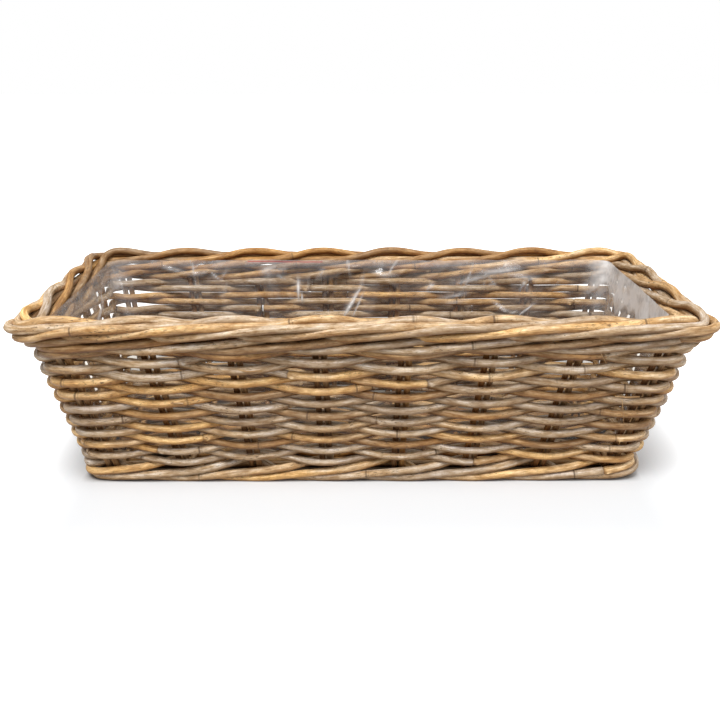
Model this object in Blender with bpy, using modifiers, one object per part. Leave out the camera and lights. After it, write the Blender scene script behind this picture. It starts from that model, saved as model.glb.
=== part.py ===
"""Rattan balcony planter: a flared rectangular basket with a film liner.

Every piece is a bent rattan rod, apart from the liner. Paired stakes run under the base and up
opposite walls. At each wall one rod of the pair ends below the border, and the other one is laid
down to the right and winds past the next stakes as a strand of the border. Courses of weaving
rod pass outside one stake and inside the next. A three-rod wale locks the stakes at the foot of
the wall, and another one under the border. Thin rods are woven lengthwise through the base.

Metres, +Z up, front at -Y. The origin is on the ground under the middle of the base.
A place on the wall is given by u, counted in stakes from the left end of the front and running
anticlockwise seen from above, by its height z, and by its distance outside the stakes.
"""

import math

import bmesh
import bpy
from mathutils import Vector

# Overall sizes
RIM_LENGTH = 0.650
RIM_WIDTH = 0.276
BASE_LENGTH = 0.580
BASE_WIDTH = 0.188
HEIGHT = 0.192

# Rods
STAKE_DIAMETER = 0.0076
WEAVER_DIAMETER = 0.0067
WALE_DIAMETER = 0.0066
BASE_ROD_DIAMETER = 0.0060
CLEARANCE = 0.0004
BOTTOM_WALE_GAP = 0.0020
TOP_WALE_GAP = 0.0020
BEND_GAP = 0.0030

# Layout of the stakes
FRONT_BAYS = 7
SIDE_BAYS = 3
CORNER_RADIUS = 0.012
CORNER_STRAIGHT = 0.012
STAKE_BEND = 0.0045
BEND_STEPS = 1
JOINT_GAP = 0.0024
JOINT_SHIFT = 5

# Base rods woven through the cross stakes, between each two end stakes
BASE_RODS_PER_BAY = 3
BASE_ROD_SETBACK = 0.0155

# Border: a strand winds round an open core as it runs past the next stakes
BORDER_RADIUS = 0.0084
BORDER_OVERHANG = 0.0030
STRAND_START = math.radians(-90)
STRAND_RATE = math.radians(62)
STRAND_HALF_BAYS = 8
TOP_WALE_DROP = 0.0186

# Liner
LINER_THICKNESS = 0.0008
LINER_CLEARANCE = 0.0020
LINER_TOP_DROP = 0.0050
LINER_FLOOR_GAP = 0.0004
LINER_CORNER_RADIUS = 0.016
LINER_CORNER_STEPS = 4
LINER_FLOOR_ROUND = 0.006
LINER_FLOOR_STEPS = 2
ROUND_PROFILE = 0.5

# Rods are hexagonal: a flat lies this share of the radius from the axis
SIDES = 6
FLAT_SHARE = math.cos(math.pi / SIDES)
LEG_OVERLAP = 0.0016
CORNER_STEP_SHARES = (0.32, 0.68)
EARLY_CLIMB = 1.22
WELD_DISTANCE = 1e-6

COLUMNS = 2 * (FRONT_BAYS + SIDE_BAYS + 2)
HALF_TURN = COLUMNS // 2
STAKE_RADIUS = STAKE_DIAMETER / 2
TWIN_HALF = STAKE_RADIUS + CLEARANCE / 2
MID_LEG_HALF = STAKE_RADIUS - LEG_OVERLAP / 2
PAIR_HALF = TWIN_HALF + STAKE_RADIUS
CORNER_SIZE = CORNER_RADIUS + CORNER_STRAIGHT

# Heights, from the ground up
GROUND_Z = STAKE_RADIUS * FLAT_SHARE
LEG_Z = GROUND_Z + STAKE_DIAMETER + CLEARANCE
BOTTOM_WALE_STEP = WALE_DIAMETER + BOTTOM_WALE_GAP
TOP_WALE_STEP = WALE_DIAMETER + TOP_WALE_GAP
BOTTOM_WALE_Z = LEG_Z + STAKE_RADIUS + BEND_GAP + WALE_DIAMETER / 2
BORDER_Z = HEIGHT - BORDER_RADIUS - STAKE_RADIUS
TOP_WALE_Z = BORDER_Z - TOP_WALE_DROP
PLAIN_END_Z = BORDER_Z - BORDER_RADIUS
TURN_Z = BORDER_Z + BORDER_RADIUS * math.sin(STRAND_START)
WEAVE_LOW = BOTTOM_WALE_Z + WALE_DIAMETER / 2 + CLEARANCE
WEAVE_HIGH = TOP_WALE_Z - TOP_WALE_STEP / 2 - WALE_DIAMETER / 2 - CLEARANCE
COURSES = int((WEAVE_HIGH - WEAVE_LOW) / (WEAVER_DIAMETER + CLEARANCE))
COURSE_STEP = (WEAVE_HIGH - WEAVE_LOW) / COURSES


def contact(diameter):
    """Distance between the axis of a stake and that of a rod lying against it."""
    return STAKE_RADIUS + diameter / 2 + CLEARANCE


# Half sizes of the surface that the stakes stand in, at the legs and at the border
BASE_REACH = contact(WALE_DIAMETER) + WALE_DIAMETER / 2
RIM_REACH = BORDER_OVERHANG + BORDER_RADIUS + STAKE_RADIUS
BASE_HALF = Vector((BASE_LENGTH / 2 - BASE_REACH, BASE_WIDTH / 2 - BASE_REACH))
RIM_HALF = Vector((RIM_LENGTH / 2 - RIM_REACH, RIM_WIDTH / 2 - RIM_REACH))
LEAN = (RIM_HALF - BASE_HALF) / (BORDER_Z - LEG_Z)


def crossing_reach(diameter, bay, lean=max(LEAN), twin_half=TWIN_HALF):
    """How far from the stakes' surface a zigzag rod must cross the pairs to clear both rods."""
    distance = contact(diameter) * math.hypot(1, lean)
    run = 1 - 2 * twin_half / bay
    rise = 2 * distance / bay
    return distance / math.sqrt(run**2 - rise**2)


def half_sizes(z):
    """Half length and half width of the stakes' surface at height z."""
    return BASE_HALF + LEAN * (z - LEG_Z)


def bay_length(column, z):
    """Distance from one stake to the next in the wall that this stake stands in."""
    half = half_sizes(z)
    if column % HALF_TURN <= FRONT_BAYS:
        return 2 * (half.x - CORNER_SIZE) / FRONT_BAYS
    return 2 * (half.y - CORNER_SIZE) / SIDE_BAYS


def corner_place(half, share):
    """Plan point and outward normal, this share of the way round the front right corner."""
    length = 2 * CORNER_STRAIGHT + CORNER_RADIUS * math.pi / 2
    distance = share * length
    turned = min(max((distance - CORNER_STRAIGHT) / CORNER_RADIUS, 0), math.pi / 2)
    normal = Vector((math.sin(turned), -math.cos(turned)))
    centre = Vector((half.x - CORNER_RADIUS, CORNER_RADIUS - half.y))
    place = centre + normal * CORNER_RADIUS
    if distance < CORNER_STRAIGHT:
        place.x -= CORNER_STRAIGHT - distance
    if distance > length - CORNER_STRAIGHT:
        place.y += distance - length + CORNER_STRAIGHT
    return place, normal


def wall_place(u, z):
    """Plan point and outward normal of the stakes' surface at u."""
    turns, v = divmod(u % COLUMNS, HALF_TURN)
    half = half_sizes(z)
    side_start = FRONT_BAYS + 1
    side_end = side_start + SIDE_BAYS
    if v <= FRONT_BAYS:
        x = (half.x - CORNER_SIZE) * (2 * v / FRONT_BAYS - 1)
        place, normal = Vector((x, -half.y)), Vector((0, -1))
    elif v < side_start:
        place, normal = corner_place(half, v - FRONT_BAYS)
    elif v <= side_end:
        y = (half.y - CORNER_SIZE) * (2 * (v - side_start) / SIDE_BAYS - 1)
        place, normal = Vector((half.x, y)), Vector((1, 0))
    else:
        place, normal = corner_place(half, side_end + 1 - v)
        place.y, normal.y = -place.y, -normal.y
    if turns:
        place, normal = -place, -normal
    return place, normal


def wall_point(u, z, outside=0.0, along=0.0):
    """Point at u and z, moved outwards and along the wall by these distances."""
    place, normal = wall_place(u, z)
    place = place + normal * outside + Vector((-normal.y, normal.x)) * along
    return Vector((place.x, place.y, z))


def is_end_stake(column):
    return column % HALF_TURN > FRONT_BAYS


def is_corner_bay(column):
    return column % HALF_TURN in (FRONT_BAYS, HALF_TURN - 1)


def partner(column):
    """The stake of the opposite wall that shares this one's leg under the base."""
    middle = FRONT_BAYS + HALF_TURN
    if is_end_stake(column):
        middle = COLUMNS + FRONT_BAYS
    return (middle - column) % COLUMNS


def ease(share):
    """Smooth step from 0 to 1, flat at both ends."""
    return share**3 * (share * (share * 6 - 15) + 10)


def height_between(z, next_z, side, next_side, share, packed):
    """Height in a bay. Packed tight, a rod that changes sides is level with its outer end."""
    if packed and side != next_side:
        return z if side > 0 else next_z
    if packed:
        return z + (next_z - z) * ease(ease(share))
    return z + (next_z - z) * ease(min(share * EARLY_CLIMB, 1))


def woven_path(start, sides, heights, diameter, packed=False):
    """Once round the basket from a joint at this stake: side 1 is outside a stake, -1 inside."""
    reaches = []
    for step in range(COLUMNS):
        bay = bay_length(start + step, heights[step])
        reaches.append(sides[step] * crossing_reach(diameter, bay))
    points = []
    for step in range(COLUMNS):
        following = (step + 1) % COLUMNS
        column = start + step
        along = JOINT_GAP / 2 if step == 0 else 0.0
        points.append(wall_point(column, heights[step], reaches[step], along))
        shares = (1 / 2,) if packed and sides[step] != sides[following] else ()
        for share in CORNER_STEP_SHARES if is_corner_bay(column) else shares:
            outside = reaches[step] + (reaches[following] - reaches[step]) * ease(share)
            ends = (heights[step], heights[following], sides[step], sides[following])
            points.append(wall_point(column + share, height_between(*ends, share, packed), outside))
    points.append(wall_point(start, heights[0], reaches[0], -JOINT_GAP / 2))
    return points


def bend_points(before, corner, after):
    """Points on a smooth bend that begins and ends STAKE_BEND from the corner."""
    first = corner + (before - corner).normalized() * STAKE_BEND
    last = corner + (after - corner).normalized() * STAKE_BEND
    points = []
    for step in range(BEND_STEPS + 1):
        share = step / BEND_STEPS
        points.append(first.lerp(corner, share).lerp(corner.lerp(last, share), share))
    return points


def strand_points(column):
    """The border strand that this stake turns into, two points a bay."""
    points = []
    for step in range(1, STRAND_HALF_BAYS + 1):
        turned = STRAND_START + STRAND_RATE * step / 2
        outside = BORDER_OVERHANG + BORDER_RADIUS * math.cos(turned)
        height = BORDER_Z + BORDER_RADIUS * math.sin(turned)
        place = wall_point(column + step / 2, BORDER_Z, outside)
        place.z = height
        points.append(place)
    return points


def stake_path(column):
    """One rod of a pair, from its plain end in the opposite wall to the end of its strand."""
    opposite = partner(column)
    leg_z = GROUND_Z if is_end_stake(column) else LEG_Z
    plain_end = wall_point(opposite, PLAIN_END_Z, along=-TWIN_HALF)
    far_corner = wall_point(opposite, leg_z, along=-TWIN_HALF)
    near_corner = wall_point(column, leg_z, along=TWIN_HALF)
    turn = wall_point(column, TURN_Z, along=TWIN_HALF)
    leg_turned = (near_corner - far_corner).normalized().cross(Vector((0, 0, 1)))
    mid_leg = (far_corner + near_corner) / 2 + leg_turned * (TWIN_HALF - MID_LEG_HALF)
    points = [plain_end]
    points += bend_points(plain_end, far_corner, near_corner)
    points.append(mid_leg)
    points += bend_points(far_corner, near_corner, turn)
    points.append(turn)
    points += strand_points(column)
    return points


def material(name, colour, roughness, alpha=1.0):
    """Principled material in one colour."""
    made = bpy.data.materials.new(name)
    made.use_nodes = True
    shader = made.node_tree.nodes["Principled BSDF"]
    shader.inputs["Base Color"].default_value = (*colour, 1)
    shader.inputs["Roughness"].default_value = roughness
    shader.inputs["Metallic"].default_value = 0
    shader.inputs["Alpha"].default_value = alpha
    return made


def rod_curve(name, points, diameter, collection):
    """A bent rod along these points, as a curve with cut ends."""
    curve = bpy.data.curves.new(name, "CURVE")
    curve.dimensions = "3D"
    curve.bevel_depth = diameter / 2
    curve.bevel_resolution = SIDES // 2 - 2
    curve.use_fill_caps = True
    curve.twist_mode = "Z_UP"
    spline = curve.splines.new("POLY")
    spline.points.add(len(points) - 1)
    for point, place in zip(spline.points, points, strict=True):
        point.co = (*place, 1)
    made = bpy.data.objects.new(name, curve)
    collection.objects.link(made)
    return made


def rod(name, points, diameter, finish, collection):
    """A rod with its material."""
    made = rod_curve(name, points, diameter, collection)
    made.data.materials.append(finish)
    return made


def rod_mesh(name, points, diameter, collection):
    """A rod as a closed mesh, for a Boolean."""
    curve_object = rod_curve(name, points, diameter, collection)
    bpy.context.view_layer.update()
    graph = bpy.context.evaluated_depsgraph_get()
    mesh = bpy.data.meshes.new_from_object(curve_object.evaluated_get(graph))
    bpy.data.objects.remove(curve_object)
    work = bmesh.new()
    work.from_mesh(mesh)
    bmesh.ops.remove_doubles(work, verts=work.verts, dist=WELD_DISTANCE)
    bmesh.ops.recalc_face_normals(work, faces=work.faces)
    work.to_mesh(mesh)
    work.free()
    made = bpy.data.objects.new(name, mesh)
    collection.objects.link(made)
    return made


def make_stake_pairs(planter, tools):
    """Twelve pairs, each with a strand of the border at both its ends."""
    cross_finish = material("cross_stake_rattan", (0.25, 0.16, 0.09), 0.6)
    end_finish = material("end_stake_rattan", (0.29, 0.19, 0.11), 0.6)
    for column in range(HALF_TURN):
        name, finish = f"cross_stake_pair_{column + 1}", cross_finish
        if is_end_stake(column):
            name, finish = f"end_stake_pair_{column - FRONT_BAYS}", end_finish
        pair = rod_mesh(name, stake_path(column), STAKE_DIAMETER, planter)
        pair.data.materials.append(finish)
        twin = rod_mesh(f"{name}_twin", stake_path(partner(column)), STAKE_DIAMETER, tools)
        twin.display_type = "WIRE"
        twin.hide_render = True
        union = pair.modifiers.new("join_twin", "BOOLEAN")
        union.operation = "UNION"
        union.solver = "EXACT"
        union.object = twin


def make_courses(planter):
    """The plain weave: every course passes outside the stakes that the one below passes inside."""
    finishes = [
        material("honey_weaver_rattan", (0.55, 0.38, 0.20), 0.55),
        material("grey_weaver_rattan", (0.38, 0.32, 0.25), 0.65),
        material("brown_weaver_rattan", (0.42, 0.29, 0.17), 0.6),
    ]
    for course in range(COURSES):
        z = WEAVE_LOW + COURSE_STEP * (course + 1 / 2)
        joint = JOINT_SHIFT * course
        finish = finishes[course % len(finishes)]
        sides = [-1, 1] * HALF_TURN
        heights = [z] * COLUMNS
        path = woven_path(joint, sides, heights, WEAVER_DIAMETER)
        rod(f"weaver_course_{course + 1:02d}", path, WEAVER_DIAMETER, finish, planter)


def make_wale(name, inside_z, low_z, high_z, packed, finish, planter):
    """Three rods, each rising past two stakes on the outside and ducking inside the third."""
    round_sides = [-1, 1, 1]
    round_heights = [inside_z, low_z, high_z]
    rounds = COLUMNS // len(round_sides)
    for joint in range(len(round_sides)):
        sides = round_sides * rounds
        heights = round_heights * rounds
        path = woven_path(joint, sides, heights, WALE_DIAMETER, packed)
        rod(f"{name}_{joint + 1}", path, WALE_DIAMETER, finish, planter)


def make_bottom_wale(planter):
    """The wale at the foot of the wall, which drapes over the bends of the stakes to the ground."""
    finish = material("bottom_wale_rattan", (0.48, 0.34, 0.20), 0.6)
    low_z = BOTTOM_WALE_Z - 2 * BOTTOM_WALE_STEP
    make_wale("bottom_wale_rod", BOTTOM_WALE_Z, low_z, BOTTOM_WALE_Z, False, finish, planter)


def make_top_wale(planter):
    """The wale under the border, packed two rods high."""
    finish = material("top_wale_rattan", (0.52, 0.37, 0.21), 0.6)
    low_z = TOP_WALE_Z - TOP_WALE_STEP / 2
    high_z = TOP_WALE_Z + TOP_WALE_STEP / 2
    make_wale("top_wale_rod", TOP_WALE_Z, low_z, high_z, True, finish, planter)


def base_swing(y):
    """How far above and below the cross legs a base rod passes them, at this y."""
    twin_half = MID_LEG_HALF + (TWIN_HALF - MID_LEG_HALF) * abs(y) / half_sizes(LEG_Z).y
    return crossing_reach(BASE_ROD_DIAMETER, bay_length(0, LEG_Z), 0, twin_half)


def base_rod_rows():
    """Distances of the base rods from the middle line, from front to back."""
    bay = bay_length(FRONT_BAYS + 1, GROUND_Z)
    free = bay - 2 * PAIR_HALF - BASE_RODS_PER_BAY * BASE_ROD_DIAMETER
    pitch = BASE_ROD_DIAMETER + free / (BASE_RODS_PER_BAY + 1)
    rows = []
    for side_bay in range(SIDE_BAYS):
        middle = bay * (side_bay - (SIDE_BAYS - 1) / 2)
        for index in range(BASE_RODS_PER_BAY):
            rows.append(middle + pitch * (index - (BASE_RODS_PER_BAY - 1) / 2))
    return rows


def make_base_rods(planter):
    """Thin rods along the base, each under one cross stake and over the next."""
    finish = material("base_rattan", (0.45, 0.32, 0.19), 0.65)
    end_x = half_sizes(LEG_Z).x - BASE_ROD_SETBACK
    for row, y in enumerate(base_rod_rows()):
        points = []
        for column in range(FRONT_BAYS + 1):
            z = LEG_Z + base_swing(y) * (-1) ** (column + row)
            points.append(Vector((wall_place(column, LEG_Z)[0].x, y, z)))
        points.insert(0, Vector((-end_x, y, points[0].z)))
        points.append(Vector((end_x, y, points[-1].z)))
        rod(f"base_rod_{row + 1}", points, BASE_ROD_DIAMETER, finish, planter)


def crosses_height(edge, z):
    heights = [vert.co.z for vert in edge.verts]
    return min(heights) < z < max(heights)


def liner_setback():
    """How far inside the stakes' surface the film hangs at the ends and at the long sides."""
    inner = WEAVER_DIAMETER / 2 + LINER_CLEARANCE
    end_bay = bay_length(FRONT_BAYS + 1, WEAVE_LOW)
    side_bay = bay_length(0, WEAVE_LOW)
    end_reach = crossing_reach(WEAVER_DIAMETER, end_bay)
    side_reach = crossing_reach(WEAVER_DIAMETER, side_bay)
    return Vector((end_reach + inner, side_reach + inner))


def make_liner(planter):
    """The clear film: a thin open tray inside the weave, up to the border."""
    finish = material("clear_film", (0.85, 0.87, 0.86), 0.15, alpha=0.4)
    swing = max(base_swing(y) for y in base_rod_rows())
    floor_z = LEG_Z + swing + BASE_ROD_DIAMETER / 2 * FLAT_SHARE + LINER_FLOOR_GAP
    top_z = BORDER_Z - LINER_TOP_DROP
    setback = liner_setback()
    work = bmesh.new()
    bmesh.ops.create_cube(work, size=2)
    top_face = max(work.faces, key=lambda face: face.calc_center_median().z)
    bmesh.ops.delete(work, geom=[top_face], context="FACES_ONLY")
    for vert in work.verts:
        height = top_z if vert.co.z > 0 else floor_z
        half = half_sizes(height) - setback
        vert.co = Vector((vert.co.x * half.x, vert.co.y * half.y, height))
    middle_z = (floor_z + top_z) / 2
    uprights = [edge for edge in work.edges if crosses_height(edge, middle_z)]
    bmesh.ops.bevel(
        work,
        geom=uprights,
        offset=LINER_CORNER_RADIUS,
        segments=LINER_CORNER_STEPS,
        profile=ROUND_PROFILE,
        affect="EDGES",
    )
    floor_edges = [edge for edge in work.edges if max(vert.co.z for vert in edge.verts) < middle_z]
    bmesh.ops.bevel(
        work,
        geom=floor_edges,
        offset=LINER_FLOOR_ROUND,
        segments=LINER_FLOOR_STEPS,
        profile=ROUND_PROFILE,
        affect="EDGES",
    )
    mesh = bpy.data.meshes.new("film_liner")
    work.to_mesh(mesh)
    work.free()
    liner = bpy.data.objects.new("film_liner", mesh)
    planter.objects.link(liner)
    mesh.materials.append(finish)
    skin = liner.modifiers.new("film_thickness", "SOLIDIFY")
    skin.thickness = LINER_THICKNESS
    skin.offset = -1


def main():
    for existing in list(bpy.data.objects):
        bpy.data.objects.remove(existing)
    planter = bpy.data.collections.new("rattan_balcony_planter")
    tools = bpy.data.collections.new("boolean_tools")
    tools.hide_render = True
    bpy.context.scene.collection.children.link(planter)
    bpy.context.scene.collection.children.link(tools)
    make_stake_pairs(planter, tools)
    make_courses(planter)
    make_bottom_wale(planter)
    make_top_wale(planter)
    make_base_rods(planter)
    make_liner(planter)


main()
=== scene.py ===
"""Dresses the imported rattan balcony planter: round rattan rods, crinkled film liner, studio.

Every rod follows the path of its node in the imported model, worked out here from the same sizes.
Metres, +Z up, front at -Y, ground at 0. A place on the wall is given by u, counted in stakes from
the left end of the front and running anticlockwise seen from above, by its height and by its
distance outside the stakes.
"""

import math
import random

import bpy
import numpy as np
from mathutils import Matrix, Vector, noise


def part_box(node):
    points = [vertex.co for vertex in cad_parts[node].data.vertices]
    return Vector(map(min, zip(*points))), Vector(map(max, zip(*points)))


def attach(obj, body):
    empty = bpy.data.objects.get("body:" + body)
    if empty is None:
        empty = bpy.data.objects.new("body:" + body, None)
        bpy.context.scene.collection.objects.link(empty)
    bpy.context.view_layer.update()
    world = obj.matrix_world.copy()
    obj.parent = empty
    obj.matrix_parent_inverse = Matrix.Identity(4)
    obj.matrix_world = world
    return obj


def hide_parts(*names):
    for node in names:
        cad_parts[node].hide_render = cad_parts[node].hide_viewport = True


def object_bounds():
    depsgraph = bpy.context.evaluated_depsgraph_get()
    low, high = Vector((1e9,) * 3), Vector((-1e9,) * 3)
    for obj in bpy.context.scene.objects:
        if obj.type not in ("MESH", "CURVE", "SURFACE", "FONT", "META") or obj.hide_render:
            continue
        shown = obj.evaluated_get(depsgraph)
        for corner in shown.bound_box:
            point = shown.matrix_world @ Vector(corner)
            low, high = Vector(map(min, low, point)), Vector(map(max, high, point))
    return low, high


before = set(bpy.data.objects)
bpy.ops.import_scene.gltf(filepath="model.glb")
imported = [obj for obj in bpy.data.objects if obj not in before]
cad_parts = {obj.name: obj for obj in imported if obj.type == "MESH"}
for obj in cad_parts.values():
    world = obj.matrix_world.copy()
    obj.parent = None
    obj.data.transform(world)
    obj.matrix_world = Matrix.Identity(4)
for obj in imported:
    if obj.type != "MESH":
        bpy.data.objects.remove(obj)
cad_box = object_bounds()

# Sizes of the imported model
RIM_LENGTH, RIM_WIDTH = 0.650, 0.276
BASE_LENGTH, BASE_WIDTH = 0.580, 0.188
HEIGHT = 0.192
STAKE_DIAMETER, WEAVER_DIAMETER = 0.0076, 0.0067
WALE_DIAMETER, BASE_ROD_DIAMETER = 0.0066, 0.0060
CLEARANCE = 0.0004
TOP_WALE_GAP, BEND_GAP = 0.0020, 0.0030
FRONT_BAYS, SIDE_BAYS = 7, 3
CORNER_RADIUS, CORNER_STRAIGHT = 0.012, 0.012
JOINT_GAP, JOINT_SHIFT = 0.0024, 5
BASE_ROD_SETBACK = 0.0155
BORDER_RADIUS, BORDER_OVERHANG = 0.0084, 0.0030
TOP_WALE_DROP = 0.0186
FLAT_SHARE = math.cos(math.pi / 6)

COLUMNS = 2 * (FRONT_BAYS + SIDE_BAYS + 2)
HALF_TURN = COLUMNS // 2
STAKE_RADIUS = STAKE_DIAMETER / 2
TWIN_HALF = STAKE_RADIUS + CLEARANCE / 2
CORNER_SIZE = CORNER_RADIUS + CORNER_STRAIGHT
GROUND_Z = STAKE_RADIUS * FLAT_SHARE
LEG_Z = GROUND_Z + STAKE_DIAMETER + CLEARANCE
TOP_WALE_STEP = WALE_DIAMETER + TOP_WALE_GAP
BOTTOM_WALE_Z = LEG_Z + STAKE_RADIUS + BEND_GAP + WALE_DIAMETER / 2
BORDER_Z = HEIGHT - BORDER_RADIUS - STAKE_RADIUS
TOP_WALE_Z = BORDER_Z - TOP_WALE_DROP
PLAIN_END_Z = BORDER_Z - BORDER_RADIUS
WEAVE_LOW = BOTTOM_WALE_Z + WALE_DIAMETER / 2 + CLEARANCE
WEAVE_HIGH = TOP_WALE_Z - TOP_WALE_STEP / 2 - WALE_DIAMETER / 2 - CLEARANCE
COURSES = int((WEAVE_HIGH - WEAVE_LOW) / (WEAVER_DIAMETER + CLEARANCE))


def contact(diameter):
    """Distance between the axis of a stake and that of a rod lying against it."""
    return STAKE_RADIUS + diameter / 2 + CLEARANCE


BASE_REACH = contact(WALE_DIAMETER) + WALE_DIAMETER / 2
RIM_REACH = BORDER_OVERHANG + BORDER_RADIUS + STAKE_RADIUS
BASE_HALF = Vector((BASE_LENGTH / 2 - BASE_REACH, BASE_WIDTH / 2 - BASE_REACH))
RIM_HALF = Vector((RIM_LENGTH / 2 - RIM_REACH, RIM_WIDTH / 2 - RIM_REACH))
LEAN = (RIM_HALF - BASE_HALF) / (BORDER_Z - LEG_Z)

# Hand work: how far the rows drift up and down together, over what lengths, and within what
# share of the weave's height the drift fades in
SWAY = 0.0017
SWAY_BAYS = 2.3
SWAY_HEIGHT = 0.045
SWAY_FADE = 1 / 4
# Outside passes lie lower than inside ones, by these shares of the lean. The corner at the back
# right is woven tight. The reach of a corner is in bays from its middle.
FRONT_SAG, SAG = 0.8, 1.3
CORNER_SAG, TIGHT_CORNER_SAG = -0.2, 0.5
CORNER_REACH = (0.60, 0.95)
# Rows are this much thinner and closer at the foot, and thicker and wider apart at the top
ROW_CROWDING = 0.08
# The weave's lowest and highest row and the top wale lie this far from their packed heights
ROW_STRETCH = (-0.0036, 0.0026)
TOP_WALE_LIFT = 0.0002

# Real rods lie pressed together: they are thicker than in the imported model, and pass the stakes
# farther out. The stakes are thinner again below the border.
WEAVER_SWELL, WALE_SWELL, STAKE_SWELL, BASE_ROD_SWELL = 1.17, 1.20, 1.09, 1.2
PASS_SWELL = 1.08
THINNER_BELOW = 0.74

# A border strand: bays travelled, distance outside the stakes, height over the border's middle
STRAND = (
    (0.12, 0.0030, -0.0118),
    (0.30, 0.0070, -0.0110),
    (0.50, 0.0094, -0.0092),
    (0.75, 0.0104, -0.0070),
    (1.00, 0.0109, -0.0044),
    (1.25, 0.0111, -0.0018),
    (1.50, 0.0110, 0.0003),
    (1.75, 0.0102, 0.0009),
    (2.00, 0.0085, 0.0012),
    (2.25, 0.0062, 0.0012),
    (2.50, 0.0042, 0.0014),
    (2.66, 0.0036, 0.0034),
    (2.85, 0.0032, 0.0062),
    (3.05, 0.0026, 0.0075),
    (3.25, 0.0006, 0.0060),
    (3.50, -0.0030, 0.0014),
    (3.75, -0.0050, -0.0015),
    (4.00, -0.0058, -0.0036),
    (4.25, -0.0060, -0.0054),
    (4.50, -0.0058, -0.0076),
    (4.75, -0.0052, -0.0102),
    (5.00, -0.0030, -0.0112),
    (5.25, 0.0008, -0.0085),
    (5.50, 0.0026, -0.0050),
    (5.75, 0.0030, -0.0035),
    (6.60, 0.0030, -0.0035),
)
STRAND_REACH = max(outside for _, outside, _ in STRAND)
STRAND_TURN_Z = BORDER_Z - 0.0125
CORNER_PUSH = 0.006
BACK_STRANDS = range(HALF_TURN - 2, HALF_TURN + FRONT_BAYS)

# One stroke of the bottom wale: bays travelled, share of the full reach, height
BOTTOM_STROKE = (
    (0.00, -1.0, 0.0160),
    (0.12, -0.8, 0.0115),
    (0.25, -0.3, 0.0066),
    (0.40, 0.4, 0.0046),
    (0.60, 0.8, 0.0044),
    (1.00, 1.0, 0.0046),
    (1.25, 1.05, 0.0062),
    (1.50, 1.05, 0.0084),
    (1.75, 1.05, 0.0106),
    (2.00, 1.0, 0.0125),
    (2.25, 0.95, 0.0146),
    (2.50, 0.6, 0.0166),
    (2.75, -0.2, 0.0178),
    (2.90, -0.8, 0.0176),
)
STROKE_BAYS = 3
# Near its ends a stroke of the top wale lies this share of a step off its level
TOP_STROKE_EASE = 0.15
# Points per bay along a row
BAY_STEPS = 8


def half_sizes(z):
    """Half length and half width of the stakes' surface at height z."""
    return BASE_HALF + LEAN * (z - LEG_Z)


def corner_place(half, share):
    """Plan point and outward normal, this share of the way round the front right corner."""
    length = 2 * CORNER_STRAIGHT + CORNER_RADIUS * math.pi / 2
    distance = share * length
    turned = min(max((distance - CORNER_STRAIGHT) / CORNER_RADIUS, 0), math.pi / 2)
    normal = Vector((math.sin(turned), -math.cos(turned)))
    centre = Vector((half.x - CORNER_RADIUS, CORNER_RADIUS - half.y))
    place = centre + normal * CORNER_RADIUS
    if distance < CORNER_STRAIGHT:
        place.x -= CORNER_STRAIGHT - distance
    if distance > length - CORNER_STRAIGHT:
        place.y += distance - length + CORNER_STRAIGHT
    return place, normal


def wall_place(u, z):
    """Plan point and outward normal of the stakes' surface at u."""
    turns, v = divmod(u % COLUMNS, HALF_TURN)
    half = half_sizes(z)
    side_start = FRONT_BAYS + 1
    side_end = side_start + SIDE_BAYS
    if v <= FRONT_BAYS:
        x = (half.x - CORNER_SIZE) * (2 * v / FRONT_BAYS - 1)
        place, normal = Vector((x, -half.y)), Vector((0, -1))
    elif v < side_start:
        place, normal = corner_place(half, v - FRONT_BAYS)
    elif v <= side_end:
        y = (half.y - CORNER_SIZE) * (2 * (v - side_start) / SIDE_BAYS - 1)
        place, normal = Vector((half.x, y)), Vector((1, 0))
    else:
        place, normal = corner_place(half, side_end + 1 - v)
        place.y, normal.y = -place.y, -normal.y
    if turns:
        place, normal = -place, -normal
    return place, normal


def wall_point(u, z, outside=0.0, along=0.0):
    """Point at u and z, moved outwards and along the wall by these distances."""
    place, normal = wall_place(u, z)
    place = place + normal * outside + Vector((-normal.y, normal.x)) * along
    return Vector((place.x, place.y, z))


def sag(u):
    """How much lower a row's outside passes lie than its inside ones, as a share of the lean."""
    v = u % HALF_TURN
    corner = min(abs(v - FRONT_BAYS - 0.5), abs(v - HALF_TURN + 0.5), v + 0.5)
    is_front = (u + 0.5) % COLUMNS < FRONT_BAYS + 1
    is_tight = abs(u % COLUMNS - HALF_TURN + 0.5) < 1
    at_corner = TIGHT_CORNER_SAG if is_tight else CORNER_SAG
    elsewhere = FRONT_SAG if is_front else SAG
    return float(np.interp(corner, CORNER_REACH, (at_corner, elsewhere)))


def leaning_point(u, z, outside, along=0.0):
    """As wall_point, but moved square to the leaning wall."""
    normal = wall_place(u, z)[1]
    lean = abs(normal.x) * LEAN.x + abs(normal.y) * LEAN.y
    point = wall_point(u, z, outside, along)
    point.z -= outside * lean * sag(u)
    return point


def is_end_stake(column):
    return column % HALF_TURN > FRONT_BAYS


def is_corner_bay(column):
    return column % HALF_TURN in (FRONT_BAYS, HALF_TURN - 1)


def partner(column):
    """The stake of the opposite wall that shares this one's leg under the base."""
    middle = FRONT_BAYS + HALF_TURN
    if is_end_stake(column):
        middle = COLUMNS + FRONT_BAYS
    return (middle - column) % COLUMNS


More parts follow.
